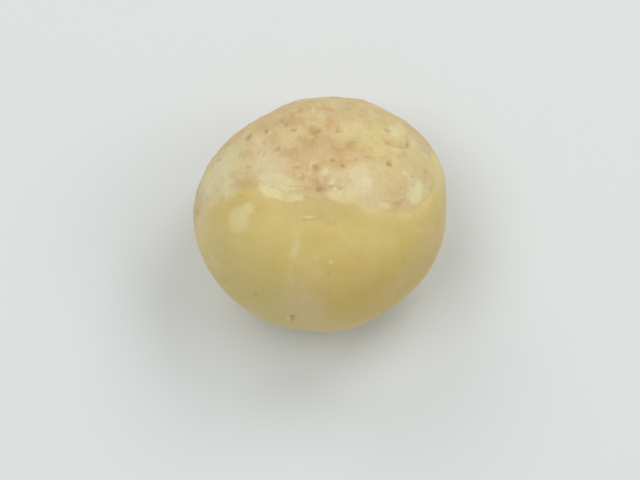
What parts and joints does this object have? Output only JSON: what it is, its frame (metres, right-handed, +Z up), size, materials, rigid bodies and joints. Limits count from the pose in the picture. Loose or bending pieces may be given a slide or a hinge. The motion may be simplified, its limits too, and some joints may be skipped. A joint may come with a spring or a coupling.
{
  "type": "macadamia nut",
  "caption": "Whole shelled macadamia kernel, rounded, with a smooth waxy end, a rough pitted end and a small flat spot to rest on.",
  "frame": {"origin": "under the middle of the kernel's bounding box, on the surface that it rests on", "axes": "+Z up as the kernel lies, +Y towards its rough, pitted end, +X across it; it is longest along X and shortest along Z"},
  "size_m": [0.019, 0.0178, 0.0169],
  "materials": {
    "kernel": "satin"
  },
  "bodies": {
    "root": {"kernel": "kernel"}
  },
  "joints": []
}
